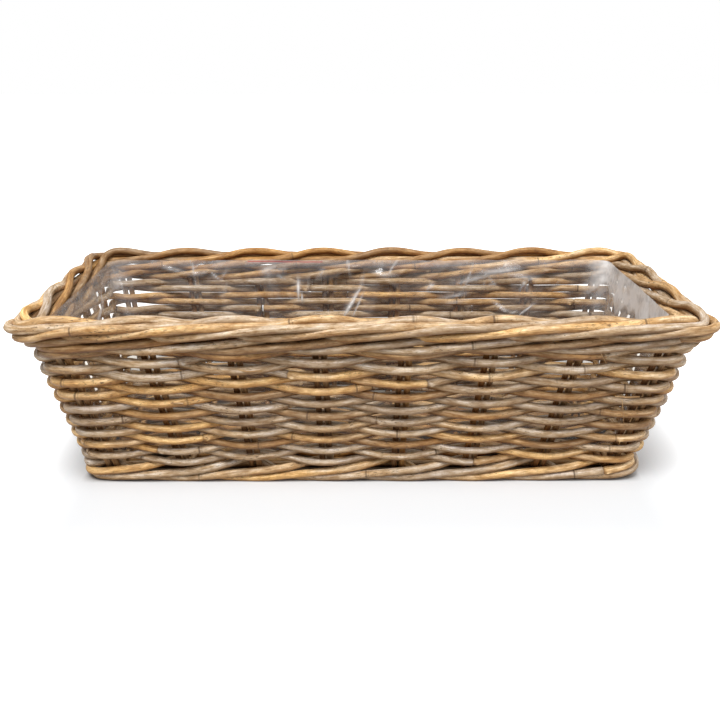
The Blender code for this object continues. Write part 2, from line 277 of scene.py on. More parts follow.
def sway(u, z):
    """How far the hand of the weaver let the rows drift up or down here."""
    if not WEAVE_LOW < z < WEAVE_HIGH:
        return 0.0
    fade = min(z - WEAVE_LOW, WEAVE_HIGH - z) / (WEAVE_HIGH - WEAVE_LOW) / SWAY_FADE
    angle = u / COLUMNS * 2 * math.pi
    ring = COLUMNS / SWAY_BAYS / (2 * math.pi)
    drift = noise.noise((math.cos(angle) * ring, math.sin(angle) * ring, z / SWAY_HEIGHT))
    return SWAY * min(fade, 1) * drift


def weaver_path(course):
    """A course of the plain weave, as a smooth wave round the stakes."""
    share = (course + 1 / 2) / COURSES
    share -= ROW_CROWDING * share * (1 - share)
    low, high = WEAVE_LOW + ROW_STRETCH[0], WEAVE_HIGH + ROW_STRETCH[1]
    z = low + (high - low) * share
    start = JOINT_SHIFT * course
    reach = contact(WEAVER_DIAMETER) * PASS_SWELL
    points = []
    for step in range(COLUMNS * BAY_STEPS + 1):
        bays = step / BAY_STEPS
        u = start + bays
        outside = -reach * math.cos(math.pi * bays)
        along = JOINT_GAP / 2 if step == 0 else 0.0
        along = -JOINT_GAP / 2 if step == COLUMNS * BAY_STEPS else along
        points.append(leaning_point(u, z + sway(u, z), outside, along))
    return points


def stroke_path(joint, stroke, reach):
    """A wale rod: once round the basket from this stake in strokes of three bays."""
    points = []
    for start in range(0, COLUMNS, STROKE_BAYS):
        for bays, side, z in stroke:
            points.append(leaning_point(joint + start + bays, z, side * reach))
    bays, side, z = stroke[0]
    points[0] = leaning_point(joint, z, side * reach, JOINT_GAP / 2)
    points.append(leaning_point(joint, z, side * reach, -JOINT_GAP / 2))
    return points


def top_stroke():
    """One stroke of the top wale, packed two rods high, as a table like BOTTOM_STROKE."""
    middle_z = TOP_WALE_Z + TOP_WALE_LIFT
    low_z = middle_z - TOP_WALE_STEP / 2
    high_z = middle_z + TOP_WALE_STEP / 2
    ease = TOP_WALE_STEP * TOP_STROKE_EASE
    return (
        (0, -1.0, middle_z),
        (0.25, -0.7, low_z + ease),
        (0.5, 0.0, low_z),
        (0.75, 0.7, low_z),
        (1, 1.0, low_z),
        (1.5, 1.05, middle_z),
        (2, 1.0, high_z),
        (2.5, 0.0, high_z),
        (2.75, -0.7, high_z - ease),
    )


def strand_points(column):
    """The border strand that this stake turns into."""
    at, outsides, heights = zip(*STRAND)
    points = []
    for step in range(1, int(at[-1] * BAY_STEPS) + 1):
        bays = step / BAY_STEPS
        outside = float(np.interp(bays, at, outsides))
        z = BORDER_Z + float(np.interp(bays, at, heights))
        u = column + bays
        if is_corner_bay(int(u)):
            push = max(outside / STRAND_REACH, 0) * CORNER_PUSH
            outside += push * math.sin(math.pi * (u % 1)) ** 2
        points.append(wall_point(u, z, outside))
    return points


def stake_path(column):
    """One rod of a pair, from its plain end in the opposite wall to the end of its strand."""
    opposite = partner(column)
    leg_z = GROUND_Z if is_end_stake(column) else LEG_Z
    points = [
        wall_point(opposite, PLAIN_END_Z, along=-TWIN_HALF),
        wall_point(opposite, leg_z, along=-TWIN_HALF),
        wall_point(column, leg_z, along=TWIN_HALF),
        wall_point(column, STRAND_TURN_Z, along=TWIN_HALF),
    ]
    return points + strand_points(column)


# Rod meshes: spacing of a path's points and of the rings, and corners of a ring
DENSE = 0.002
RING_STEP = 0.0042
SIDES = 12
# A bend is softened over this many of its reaches to either side
SOFT_REACHES = 3
# A rod this close to upright, as the sine of its angle, takes its first side from the Y axis
UPRIGHT = 0.1
# Ranges from which each rod takes its place in the textures and in the noise
TEXTURE_SPAN, NOISE_SPAN = 50, 90
BOX_LOW, BOX_HIGH = (np.array(corner) for corner in cad_box)

# Lengths of cane: the shortest, the share of its length that the first one keeps, and the ranges
# of their radius, of the first node's place and of the spacing of the nodes
SHORTEST_CANE = 0.08
FIRST_CANE = (0.4, 1)
CANE_RADIUS = (0.96, 1.05)
FIRST_NODE = (0.03, 0.30)
NODE_SPACING = (0.20, 0.45)
LAST_NODE_GAP = 0.012
# The skin: waves per metre of its unevenness and of its tone, how strong they are, noise places
SKIN_PACE, SKIN_WAVE, SKIN_LAYER = 18, 0.07, 3.3
TONE_PACE, TONE_DRIFT, TONE_LAYER = 9, 0.3, 7.7
# Small waves of a hand-woven rod: length, height and the noise layer of each axis
WAVE_LENGTH = 0.05
WAVE_HEIGHT = 0.0008
WAVE_LAYERS = (0.5, 5.5, 10.5)
# Rings at a cut end and at a node, as distance, share of the radius and darkness
CUT_RINGS = ((0.0001, 0.72, 0.4), (0.0007, 0.93, 0.22), (0.0018, 1.0, 0.10), (0.0040, 1.0, 0.0))
NODE_RINGS = (
    (-0.0032, 1.00, 0.0),
    (-0.0021, 1.03, 0.08),
    (-0.0015, 1.01, 0.85),
    (-0.0004, 1.02, 0.85),
    (0.0003, 1.06, 0.10),
    (0.0010, 1.05, 0.15),
    (0.0016, 1.03, 0.45),
    (0.0022, 1.02, 0.10),
    (0.0034, 1.00, 0.0),
)
NODE_DARKNESS = (0.6, 1)

# Loose fibres and torn skin: piece, radius and places
SPLINTERS = (
    ("weaver_course_11", 0.0010,
     ((0.2654, -0.1135, 0.1043), (0.2536, -0.1155, 0.1042), (0.2408, -0.1164, 0.1057))),
    ("weaver_course_11", 0.0004,
     ((0.2479, -0.1165, 0.1021), (0.2512, -0.1148, 0.0883), (0.2552, -0.1105, 0.0719))),
    ("top_wale_rod_1", 0.0005,
     ((0.2164, -0.1281, 0.1578), (0.2196, -0.1288, 0.1521), (0.2252, -0.1273, 0.1436))),
    ("top_wale_rod_2", 0.0005,
     ((-0.3100, -0.1230, 0.1700), (-0.3155, -0.1311, 0.1726), (-0.3182, -0.1328, 0.1713))),
    ("top_wale_rod_3", 0.0007,
     ((0.3040, -0.1200, 0.1580), (0.3085, -0.1271, 0.1641), (0.3095, -0.1289, 0.1677))),
    ("weaver_course_10", 0.0009,
     ((-0.1717, -0.1136, 0.0980), (-0.1779, -0.1160, 0.0997), (-0.1861, -0.1130, 0.0977))),
    ("weaver_course_15", 0.0011,
     ((-0.1157, -0.1227, 0.1368), (-0.1072, -0.1248, 0.1353), (-0.0935, -0.1223, 0.1351))),
)
SPLINTER_MARKS = (0.6, 0.15, 1.0, 1.0)
SPLINTER_SIDES = 6
SPLINTER_TAPER = 0.4


def distances(path):
    """How far along the path each of its points lies."""
    lengths = np.linalg.norm(np.diff(path, axis=0), axis=1)
    return np.concatenate([[0], np.cumsum(lengths)])


def between(wanted, at, places):
    """Places at the wanted distances, where the given ones lie at these distances."""
    return np.stack([np.interp(wanted, at, places[:, i]) for i in range(3)], 1)


def softened(points, reach):
    """Evenly spaced points along a bent rod, each the mean of its surroundings."""
    points = np.array([tuple(p) for p in points], float)
    at = distances(points)
    points = between(np.linspace(0, at[-1], max(round(at[-1] / DENSE), 2) + 1), at, points)
    half = min(int(SOFT_REACHES * reach / DENSE), len(points) - 1)
    weights = np.exp(-(((np.arange(-half, half + 1)) * DENSE / reach) ** 2) / 2)
    weights /= weights.sum()
    before = 2 * points[0] - points[half:0:-1]
    after = 2 * points[-1] - points[-2 : -half - 2 : -1]
    padded = np.concatenate([before, points, after])
    return np.stack([np.convolve(padded[:, i], weights, "valid") for i in range(3)], 1)


def add_object(name, data):
    made = bpy.data.objects.new(name, data)
    bpy.context.scene.collection.objects.link(made)
    return made


def smooth_object(name, places, faces, finish):
    """A mesh object whose four-sided faces are smooth."""
    mesh = bpy.data.meshes.new(name)
    mesh.from_pydata(places.tolist(), [], faces)
    mesh.polygons.foreach_set("use_smooth", [len(face) == 4 for face in faces])
    mesh.materials.append(finish)
    return add_object(name, mesh)


def add_marks(made, name, kind, field, values):
    """Stores values at the object's vertices, for its material to read."""
    marks = made.data.attributes.new(name, kind, "POINT")
    marks.data.foreach_set(field, np.array(values, np.float32).ravel())


def drawn_tone(pick, kinds):
    """Tone from grey to honey, and brightness, of one length of cane."""
    draw = pick.random()
    tones, shades = next(ranges for below, *ranges in kinds if draw < below)
    return pick.uniform(*tones), pick.uniform(*shades)


class Rods:
    """The tubes of one node's piece, with the marks that the rattan materials read."""

    def __init__(self, node, seed):
        self.node = node
        self.random = random.Random(seed)
        self.places, self.faces = [], []
        self.marks, self.along = [], []
        self.count = 0

    def tube(self, path, at, radii, marks, sides=SIDES):
        """Adds a tube: at holds the distances of its rings along the path."""
        travelled = distances(path)
        centres = between(at, travelled, path)
        tangents = between(at, travelled, np.gradient(path, axis=0))
        tangents /= np.linalg.norm(tangents, axis=1)[:, None]
        side = np.cross(tangents[0], (0.0, 0.0, 1.0))
        if np.linalg.norm(side) < UPRIGHT:
            side = np.cross(tangents[0], (0.0, 1.0, 0.0))
        angles = np.arange(sides) * 2 * math.pi / sides
        offset = self.random.uniform(0, TEXTURE_SPAN)
        first = self.count
        for index, radius in enumerate(radii):
            tangent = tangents[index]
            side = side - tangent * side.dot(tangent)
            side /= np.linalg.norm(side)
            up = np.cross(tangent, side)
            circle = np.outer(np.cos(angles), side) + np.outer(np.sin(angles), up)
            self.places.append(centres[index] + circle * radius)
            self.marks += [marks[index]] * sides
            for angle in angles:
                spot = (radius * math.cos(angle), radius * math.sin(angle))
                self.along.append((at[index] + offset, *spot))
        for index in range(len(radii) - 1):
            a = first + index * sides
            for k in range(sides):
                n = (k + 1) % sides
                self.faces.append((a + k, a + n, a + sides + n, a + sides + k))
        last = first + (len(radii) - 1) * sides
        self.faces.append(tuple(range(first + sides - 1, first - 1, -1)))
        self.faces.append(tuple(range(last, last + sides)))
        self.count += len(radii) * sides

    def rod(self, points, diameter, bend, cane, kinds, light=1.0, dim=1.0):
        """A rod of spliced lengths of cane, with dark rings at their nodes.

        Bend is the reach over which its corners are softened, cane the range of its lengths, and
        light a factor of its brightness, for painted shade. Where dim is below 1, the rod is
        darker by that factor below the border, as painted shade, and thinner there.
        """
        path = self.shaken(softened(points, bend))
        total = np.linalg.norm(np.diff(path, axis=0), axis=1).sum()
        pick = self.random
        bounds = [0.0]
        reached = pick.uniform(*cane) * pick.uniform(*FIRST_CANE)
        while reached < total - SHORTEST_CANE:
            bounds.append(reached)
            reached += pick.uniform(*cane)
        bounds.append(total)
        at, radii, marks = [], [], []
        for low, high in zip(bounds, bounds[1:]):
            tone, shade = drawn_tone(pick, kinds)
            radius = diameter / 2 * pick.uniform(*CANE_RADIUS)
            nodes = []
            node = low + pick.uniform(*FIRST_NODE)
            while node < high - LAST_NODE_GAP:
                nodes.append(node)
                node += pick.uniform(*NODE_SPACING)
            self.cane(low, high, radius, tone, shade * light, nodes, at, radii, marks)
        # Painted shade: darker below the border, where the weave shades the stakes
        if dim < 1:
            travelled = np.linspace(0, total, len(path))
            z = np.interp(at, travelled, path[:, 2])
            risen = np.interp(z, (PLAIN_END_Z - BORDER_RADIUS, PLAIN_END_Z), (0, 1))
            factors = dim + (1 - dim) * risen
            marks = [(m[0], m[1], m[2] * factor, 1.0) for m, factor in zip(marks, factors)]
            radii = np.array(radii) * (THINNER_BELOW + (1 - THINNER_BELOW) * risen)
        self.tube(path, np.array(at), np.array(radii), marks)

    def shaken(self, path):
        """The small waves that a hand-woven rod keeps."""
        shift = self.random.uniform(0, NOISE_SPAN)
        waves = []
        for k in range(len(path)):
            at = k * DENSE / WAVE_LENGTH
            waves.append([noise.noise((at, shift, layer)) for layer in WAVE_LAYERS])
        return path + np.array(waves) * WAVE_HEIGHT

    def cane(self, low, high, radius, tone, shade, nodes, at, radii, marks):
        """The rings of one length of cane: cut ends, an uneven skin and its nodes."""
        stops = [(low + d, share, dark) for d, share, dark in CUT_RINGS]
        stops += [(high - d, share, dark) for d, share, dark in CUT_RINGS]
        cut, ring = CUT_RINGS[-1][0], NODE_RINGS[-1][0]
        free = np.arange(low + cut, high - cut, RING_STEP)
        stops += [(s, 1.0, 0.0) for s in free if all(abs(s - n) > ring for n in nodes)]
        for node in nodes:
            depth = self.random.uniform(*NODE_DARKNESS)
            stops += [(node + d, share, dark * depth) for d, share, dark in NODE_RINGS]
        shift = self.random.uniform(0, NOISE_SPAN)
        for place, share, dark in sorted(stops):
            wave = noise.noise((place * SKIN_PACE, shift, SKIN_LAYER))
            drift = noise.noise((place * TONE_PACE, TONE_LAYER, shift))
            at.append(place)
            radii.append(radius * share * (1 + SKIN_WAVE * wave))
            marks.append((tone + TONE_DRIFT * drift, dark, shade, 1.0))

    def piece(self, finish):
        """Makes the object, with its splinters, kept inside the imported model's box."""
        for torn, radius, points in SPLINTERS:
            if torn == self.node:
                path = softened(points, DENSE)
                at = np.arange(len(path)) * np.linalg.norm(path[1] - path[0])
                radii = radius * np.linspace(1, SPLINTER_TAPER, len(path))
                self.tube(path, at, radii, [SPLINTER_MARKS] * len(path), SPLINTER_SIDES)
        places = np.clip(np.concatenate(self.places), BOX_LOW, BOX_HIGH)
        made = smooth_object(f"cane_{self.node}", places, self.faces, finish)
        add_marks(made, "cane", "FLOAT_COLOR", "color", self.marks)
        add_marks(made, "rod_place", "FLOAT_VECTOR", "vector", self.along)
        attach(made, "root")
        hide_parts(self.node)


# Kinds of cane: upper bound of their draw, range of tone from grey to honey, range of brightness
WEAVER_KINDS = (
    (0.38, (0.08, 0.30), (0.86, 1.16)),
    (0.66, (0.35, 0.60), (0.84, 1.12)),
    (0.87, (0.66, 0.90), (0.90, 1.12)),
    (1.00, (0.40, 0.65), (0.56, 0.76)),
)
BORDER_KINDS = (
    (0.52, (0.60, 0.92), (0.94, 1.10)),
    (1.00, (0.22, 0.58), (0.88, 1.04)),
)
# Painted shade on the strands along the back, as a factor of their brightness
BACK_PAINTED_SHADE = 0.62

# Materials
WHITE = (1, 1, 1, 1)


def link(tree, value, socket):
    """Links the socket to another node's output, or sets its own value."""
    if isinstance(value, bpy.types.NodeSocket):
        tree.links.new(value, socket)
    else:
        socket.default_value = value


def with_nodes(made):
    made.use_nodes = True
    return made, made.node_tree


def node_of(tree, kind, **settings):
    made = tree.nodes.new("ShaderNode" + kind)
    for name, value in settings.items():
        setattr(made, name, value)
    return made


def fill(tree, node, *values):
    """Links or sets a node's first input sockets in turn."""
    for socket, value in zip(node.inputs, values):
        link(tree, value, socket)


def feed(tree, node, **values):
    """Links or sets input sockets by name, with _ for a space."""
    for name, value in values.items():
        link(tree, value, node.inputs[name.replace("_", " ")])


def mark_of(tree, name, output="Fac"):
    """A mark that the mesh carries."""
    return node_of(tree, "Attribute", attribute_name=name).outputs[output]


def noise_of(tree, vector, scale, detail=2.0, roughness=0.5, distortion=0.0):
    """Noise between 0 and 1, with its own scale on each axis."""
    scaling = node_of(tree, "Mapping")
    feed(tree, scaling, Scale=scale, Vector=vector)
    made = node_of(tree, "TexNoise")
    feed(tree, made, Vector=scaling.outputs[0], Scale=1.0)
    feed(tree, made, Detail=detail, Roughness=roughness, Distortion=distortion)
    return made.outputs["Fac"]


def remapped(tree, value, low, high, new_low=0.0, new_high=1.0, kind="LINEAR"):
    """The value's range low to high, stretched to the new range and kept inside it."""
    made = node_of(tree, "MapRange", clamp=True, interpolation_type=kind)
    fill(tree, made, value, low, high, new_low, new_high)
    return made.outputs[0]


def maths(tree, operation, a, b, clamp=False):
    made = node_of(tree, "Math", operation=operation, use_clamp=clamp)
    fill(tree, made, a, b)
    return made.outputs[0]


def product(tree, *factors):
    made = factors[0]
    for factor in factors[1:]:
        made = maths(tree, "MULTIPLY", made, factor)
    return made


def mixed_shader(tree, share, a, b):
    made = node_of(tree, "MixShader")
    fill(tree, made, share, a.outputs[0], b.outputs[0])
    return made


def mixed(tree, blend, share, a, b):
    made = node_of(tree, "Mix", data_type="RGBA", blend_type=blend)
    for index, value in ((0, share), (6, a), (7, b)):
        link(tree, value, made.inputs[index])
    return made.outputs[2]


# Colours of the cane from grey to honey
RATTAN_STOPS = (
    (0.00, (0.510, 0.400, 0.300, 1)),
    (0.25, (0.580, 0.440, 0.300, 1)),
    (0.50, (0.630, 0.430, 0.240, 1)),
    (0.75, (0.720, 0.455, 0.205, 1)),
    (1.00, (0.800, 0.490, 0.190, 1)),
)
FLECK_COLOUR = (0.10, 0.050, 0.020, 1)
CRACK_COLOUR = (0.20, 0.11, 0.05, 1)
RING_COLOUR = (0.075, 0.035, 0.014, 1)
# Darker places are redder, painted shade among them: brightness is raised to these powers in red,
# green and blue
SHADE_POWERS = (1.0, 1.36, 1.90)
# Marks in the skin: scale along and across the rod, detail, roughness and distortion of a noise
FIBRES = ((35, 1100, 1100), 3, 0.6)
BLOTCHES = ((28, 130, 130), 3, 0.6)
PATCHES = ((14, 30, 30), 2)
SCUFFS = ((70, 260, 260), 4, 0.65)
FLECKS = ((260, 800, 800), 2, 0.6)
CRACKS = ((1300, 90, 90), 1, 0.5, 0.4)
# What becomes of them: the range of the noise, and the range that it is stretched to. Painted
# light and shade: the tops are lighter and the undersides darker, by the upward part of the
# surface's direction.
BLOTCH_TONE = (0.3, 0.7, -0.22, 0.22)
BLOTCH_ROUGHNESS = (0.3, 0.7, 0.42, 0.68)
FIBRE_LIGHT = (0.3, 0.7, 0.66, 1.22)
SCUFF_LIGHT = (0.35, 0.65, 0.58, 1.18)
ABOVE_LIGHT = (-0.9, 0.5, 0.34, 1.14)
FLECK_RANGE, FLECK_PATCH = (0.57, 0.66), (0.45, 0.62, 0.10, 0.85)
CRACK_RANGE, CRACK_PATCH = (0.60, 0.68), (0.50, 0.40, 0.0, 0.30)
CANE_SPECULAR = 0.35
# Relief of the skin: shares of the fibres and of the marks, strength and depth
FIBRE_RELIEF, MARK_RELIEF = 0.5, 0.6
BUMP_STRENGTH, BUMP_DEPTH = 0.55, 0.0006


def rattan(name, darker=1.0):
    """Weathered cane: fibres, blotches, flecks, cracks, dark node rings, painted light and shade.
    """
    made, tree = with_nodes(bpy.data.materials.new(name))
    shader = tree.nodes["Principled BSDF"]
    split = node_of(tree, "SeparateColor")
    link(tree, mark_of(tree, "cane", "Color"), split.inputs[0])
    tone, dark, shade = split.outputs
    place = mark_of(tree, "rod_place", "Vector")
    kinds = (FIBRES, BLOTCHES, PATCHES, SCUFFS, FLECKS, CRACKS)
    noises = [noise_of(tree, place, *settings) for settings in kinds]
    fibres, blotches, patches, scuffs, flecks, cracks = noises

    blotch_tone = remapped(tree, blotches, *BLOTCH_TONE)
    ramp = node_of(tree, "ValToRGB")
    link(tree, maths(tree, "ADD", tone, blotch_tone, True), ramp.inputs[0])
    stops = ramp.color_ramp.elements
    for at, colour in RATTAN_STOPS:
        stop = stops[0] if at == 0 else stops[-1] if at == 1 else stops.new(at)
        stop.color = colour
    light = product(tree, shade, remapped(tree, fibres, *FIBRE_LIGHT))
    light = product(tree, light, remapped(tree, scuffs, *SCUFF_LIGHT))
    # Painted light on the tops, painted shade on the undersides, and darker as painted shade
    split_normal = node_of(tree, "SeparateXYZ")
    link(tree, node_of(tree, "TexCoord").outputs["Normal"], split_normal.inputs[0])
    painted_light_from_above = remapped(tree, split_normal.outputs["Z"], *ABOVE_LIGHT)
    light = product(tree, light, product(tree, painted_light_from_above, darker))
    shading = node_of(tree, "CombineColor")
    fill(tree, shading, *(maths(tree, "POWER", light, power) for power in SHADE_POWERS))
    scaled = mixed(tree, "MULTIPLY", 1.0, ramp.outputs[0], shading.outputs[0])

    fleck_patch = remapped(tree, patches, *FLECK_PATCH)
    fleck_share = product(tree, remapped(tree, flecks, *FLECK_RANGE), fleck_patch)
    crack_patch = remapped(tree, patches, *CRACK_PATCH)
    crack_share = product(tree, remapped(tree, cracks, *CRACK_RANGE), crack_patch)
    colour = mixed(tree, "MIX", fleck_share, scaled, FLECK_COLOUR)
    colour = mixed(tree, "MIX", crack_share, colour, CRACK_COLOUR)
    colour = mixed(tree, "MIX", dark, colour, RING_COLOUR)
    roughness = remapped(tree, blotches, *BLOTCH_ROUGHNESS)
    feed(tree, shader, Base_Color=colour, Roughness=roughness, Specular_IOR_Level=CANE_SPECULAR)

    height = maths(tree, "ADD", product(tree, fibres, FIBRE_RELIEF), blotches)
    for share in (fleck_share, crack_share):
        height = maths(tree, "SUBTRACT", height, product(tree, share, MARK_RELIEF))
    bump = node_of(tree, "Bump")
    feed(tree, bump, Height=height, Strength=BUMP_STRENGTH, Distance=BUMP_DEPTH)
    feed(tree, shader, Normal=bump.outputs[0])
    return made


# How each kind of rod is laid: reach of its bends and range of the lengths of its canes
STAKE_LAY = (0.004, (2, 3))
WEAVER_LAY = (0.0045, (0.35, 0.90))
WALE_LAY = (0.006, (0.35, 0.80))
BASE_ROD_LAY = (0.007, (0.3, 0.6))
# Painted shade: brightness of the stakes below the border, where the rows shade them, and of the
# base under the basket, and the seeds of each kind of rod
STAKE_PAINTED_SHADE, BASE_PAINTED_SHADE = 0.78, 0.7
STAKE_SEED, WEAVER_SEED, BASE_ROD_SEED = 100, 200, 400
BOTTOM_WALE_SEED, TOP_WALE_SEED = 440, 390


def make_stakes():
    """The stake pairs, each with its two border strands."""
    finish = rattan("cross_stake_cane")
    end_finish = rattan("end_stake_cane")
    for column in range(HALF_TURN):
        node, look, slot = f"cross_stake_pair_{column + 1}", finish, "cross_stake_rattan"
        if is_end_stake(column):
            node = f"end_stake_pair_{column - FRONT_BAYS}"
            look, slot = end_finish, "end_stake_rattan"
        rods = Rods(node, STAKE_SEED + column)
        for at in (column, partner(column)):
            # Painted shade on the strands along the back
            light = BACK_PAINTED_SHADE if at in BACK_STRANDS else 1
            size = STAKE_DIAMETER * STAKE_SWELL
            rods.rod(stake_path(at), size, *STAKE_LAY, BORDER_KINDS, light, STAKE_PAINTED_SHADE)
        rods.piece(look)


def make_weavers():
    """The courses of the plain weave."""
    kinds = ("honey", "grey", "brown")
    finishes = [rattan(f"{kind}_weaver_cane") for kind in kinds]
    for course in range(COURSES):
        node = f"weaver_course_{course + 1:02d}"
        kind = course % len(kinds)
        slope = 1 - ROW_CROWDING * (1 - 2 * course / COURSES)
        rods = Rods(node, WEAVER_SEED + course)
        size = WEAVER_DIAMETER * WEAVER_SWELL * slope
        rods.rod(weaver_path(course), size, *WEAVER_LAY, WEAVER_KINDS)
        rods.piece(finishes[kind])


def make_wales():
    """The three-rod wales at the foot of the wall and under the border."""
    reach = contact(WALE_DIAMETER) * PASS_SWELL
    bottom = ("bottom_wale", BOTTOM_STROKE, BOTTOM_WALE_SEED)
    top = ("top_wale", top_stroke(), TOP_WALE_SEED)
    for wale, stroke, seed in (bottom, top):
        finish = rattan(f"{wale}_cane")
        for joint in range(STROKE_BAYS):
            rods = Rods(f"{wale}_rod_{joint + 1}", seed + joint)
            path = stroke_path(joint, stroke, reach)
            rods.rod(path, WALE_DIAMETER * WALE_SWELL, *WALE_LAY, WEAVER_KINDS)
            rods.piece(finish)


def make_base():
    """The rods woven lengthwise through the base."""
    # The base rods are darker as painted shade under the basket
    finish = rattan("base_cane", BASE_PAINTED_SHADE)
    end_x = half_sizes(LEG_Z).x - BASE_ROD_SETBACK
    for node in sorted(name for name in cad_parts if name.startswith("base_rod")):
        low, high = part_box(node)
        y = (low.y + high.y) / 2
        middle = (low.z + high.z) / 2
        swing = (high.z - low.z - BASE_ROD_DIAMETER * FLAT_SHARE) / 2
        row = int(node.split("_")[-1]) - 1
        points = []
        for column in range(FRONT_BAYS + 1):
            z = middle + swing * (-1) ** (column + row)
            points.append(Vector((wall_place(column, LEG_Z)[0].x, y, z)))
        points.insert(0, Vector((-end_x, y, points[0].z)))
        points.append(Vector((end_x, y, points[-1].z)))
        rods = Rods(node, BASE_ROD_SEED + row)
        rods.rod(points, BASE_ROD_DIAMETER * BASE_ROD_SWELL, *BASE_ROD_LAY, WEAVER_KINDS)
        rods.piece(finish)


# The film liner: how far inside the stakes it hangs, its heights, roundness and grid
FILM_SETBACK = Vector((0.0150, 0.0135))
FILM_TOP_Z = BORDER_Z + 0.0010
FILM_FLOOR_Z = 0.0228
FILM_FLOOR_ROUND = 0.005
FILM_CORNER_RADIUS = 0.016
FILM_STEP = 0.0022
FILM_WALL_ROWS = 76
FILM_FLOOR_ROWS = 16
# Lengths of its front, corners and ends, and the distances round it where its back, its left end
# and the front again begin. A depth t down it counts from this tuck below its top. What belongs
# to one side fades out this far past its ends.
FILM_SIDES = (2 * RIM_HALF.x, FILM_CORNER_RADIUS * math.pi / 2, 2 * RIM_HALF.y)
FILM_BACK = FILM_SIDES[0] + 2 * FILM_SIDES[1] + FILM_SIDES[2]
FILM_LEFT = FILM_BACK + FILM_SIDES[0]
FILM_LENGTH = 2 * FILM_BACK
FILM_TUCK = 0.0045
SIDE_FADE = 0.02

# Scattered folds: count, seed, lengths, widths, height and spread of their direction
FINE_FOLDS = (260, 37, (0.02, 0.09), (0.0015, 0.006), 0.0020, 0.9)
BROAD_FOLDS = (60, 38, (0.05, 0.14), (0.006, 0.02), 0.0045, 0.9)
TOP_FOLDS = (130, 40, (0.02, 0.05), (0.002, 0.006), 0.0028, 0.3)
# The wrinkles only whiten the film as painted highlights, so their height is a whiteness
WRINKLES = (420, 51, (0.008, 0.035), (0.0006, 0.0016), 0.7, 1.2)
FOLD_BEND, FOLD_RISE, FOLD_SIGNS = 0.3, (0.3, 1), (-1, 1, 1)
TOP_FOLDS_DEPTH, TOP_FOLDS_STRETCH, TOP_FOLDS_CALM = 0.03, 0.3, 0.9
# How much the ends are calmer, the share of places that count as flat, and the deepest fold
END_CALM, LOWEST_PERCENT, DEEPEST_FOLD = 0.6, 2, 0.02
# Lower edges of the loose flaps at the ends: depth, and height, pace and shift of its waves
RIGHT_FLAP = (0.030, (0.007, 55, 0), (0.004, 130, 1))
LEFT_FLAP = (0.022, (0.006, 60, 2))
FLAP_SOFTNESS, FLAP_GAP, FLAP_SLOPE, FLAP_REACH = 0.003, 0.003, 0.12, 0.05
# Slow drift in milkiness: paces along s and down t, and shift, of two crossing waves
DRIFT_WAVES = ((41, 23, 0), (17, -31, 2))
# Milkiness, from 0 for clear to 1 for white: flaps, the ends, the back and the band at its top,
# with the depth at which each fades out and over what length
RIGHT_FLAP_HAZE, LEFT_FLAP_HAZE = 0.68, 0.24
RIGHT_HAZE, RIGHT_DEPTH, RIGHT_FADE = 0.34, 0.085, 0.05
LEFT_HAZE, BACK_HAZE, DRIFT_HAZE = 0.04, 0.03, 0.06
BAND_HAZE, BAND_DEPTH = 0.20, 0.006
# Painted highlights along fine creases near the top of the back: strength, depth and fade
WRINKLE_GLINT, WRINKLE_DEPTH, WRINKLE_FADE = 0.4, 0.045, 0.035
FLOOR_HAZE, HEM_HAZE = 0.06, 0.8
# Gloss: what the front side loses, whose inner face isn't seen, and what the floor keeps
FRONT_DULLNESS, FLOOR_SHINE = 0.99, 0.12
# The floor's rounded edge, its middle and its waves: height, pace, noise layer and inset
FLOOR_FIRST_INSET, FLOOR_RISE, FLOOR_MIDDLE = 0.4, 0.5, 0.002
FLOOR_LEAST_RADIUS, FLOOR_ROUNDNESS = 0.001, 0.9
FLOOR_WAVE, FLOOR_PACE, FLOOR_LAYER, FLOOR_CALM = 0.004, 45, 3.1, 0.01

# Painted glints, folds whitened as if highlights lay on them: x on the back or beyond its ends,
# depth, angle, length, width and strength
FILM_PAINTED_GLINTS = (
    (-0.084, 0.027, 87, 0.022, 0.0016, 1.50),
    (-0.080, 0.036, 96, 0.016, 0.0008, 1.00),
    (-0.012, 0.043, 55, 0.034, 0.0018, 1.10),
    (-0.004, 0.046, 62, 0.026, 0.0010, 0.80),
    (0.190, 0.050, -32, 0.020, 0.0009, 1.10),
    (0.205, 0.056, -8, 0.018, 0.0007, 0.80),
    (0.226, 0.054, 35, 0.020, 0.0009, 0.90),
    (0.092, 0.026, 20, 0.010, 0.0030, 0.60),
    (0.126, 0.037, 8, 0.030, 0.0014, 0.70),
    (0.130, 0.044, 4, 0.026, 0.0012, 0.45),
    (0.185, 0.008, 4, 0.045, 0.0045, 0.55),
    (0.150, 0.018, 12, 0.040, 0.0030, 0.50),
    (0.215, 0.016, -8, 0.040, 0.0030, 0.45),
    (-0.245, 0.007, -14, 0.030, 0.0024, 0.60),
    (-0.215, 0.011, 10, 0.022, 0.0026, 0.45),
    (-0.122, 0.007, 18, 0.020, 0.0050, 0.60),
    (-0.106, 0.016, -24, 0.012, 0.0018, 0.60),
    (-0.052, 0.010, 60, 0.014, 0.0036, 0.45),
    (0.030, 0.012, -6, 0.030, 0.0030, 0.35),
    (-0.430, 0.034, 14, 0.080, 0.0022, 0.95),
    (-0.400, 0.020, 40, 0.030, 0.0016, 0.80),
    (-0.365, 0.030, 70, 0.030, 0.0016, 0.75),
    (0.360, 0.030, 80, 0.030, 0.0022, 1.00),
)
STREAK_RELIEF = 0.003
# The red line along the hem: x from and to, depth, and half its height
HEM_LINE = (-0.150, -0.050, -0.0022, 0.001)


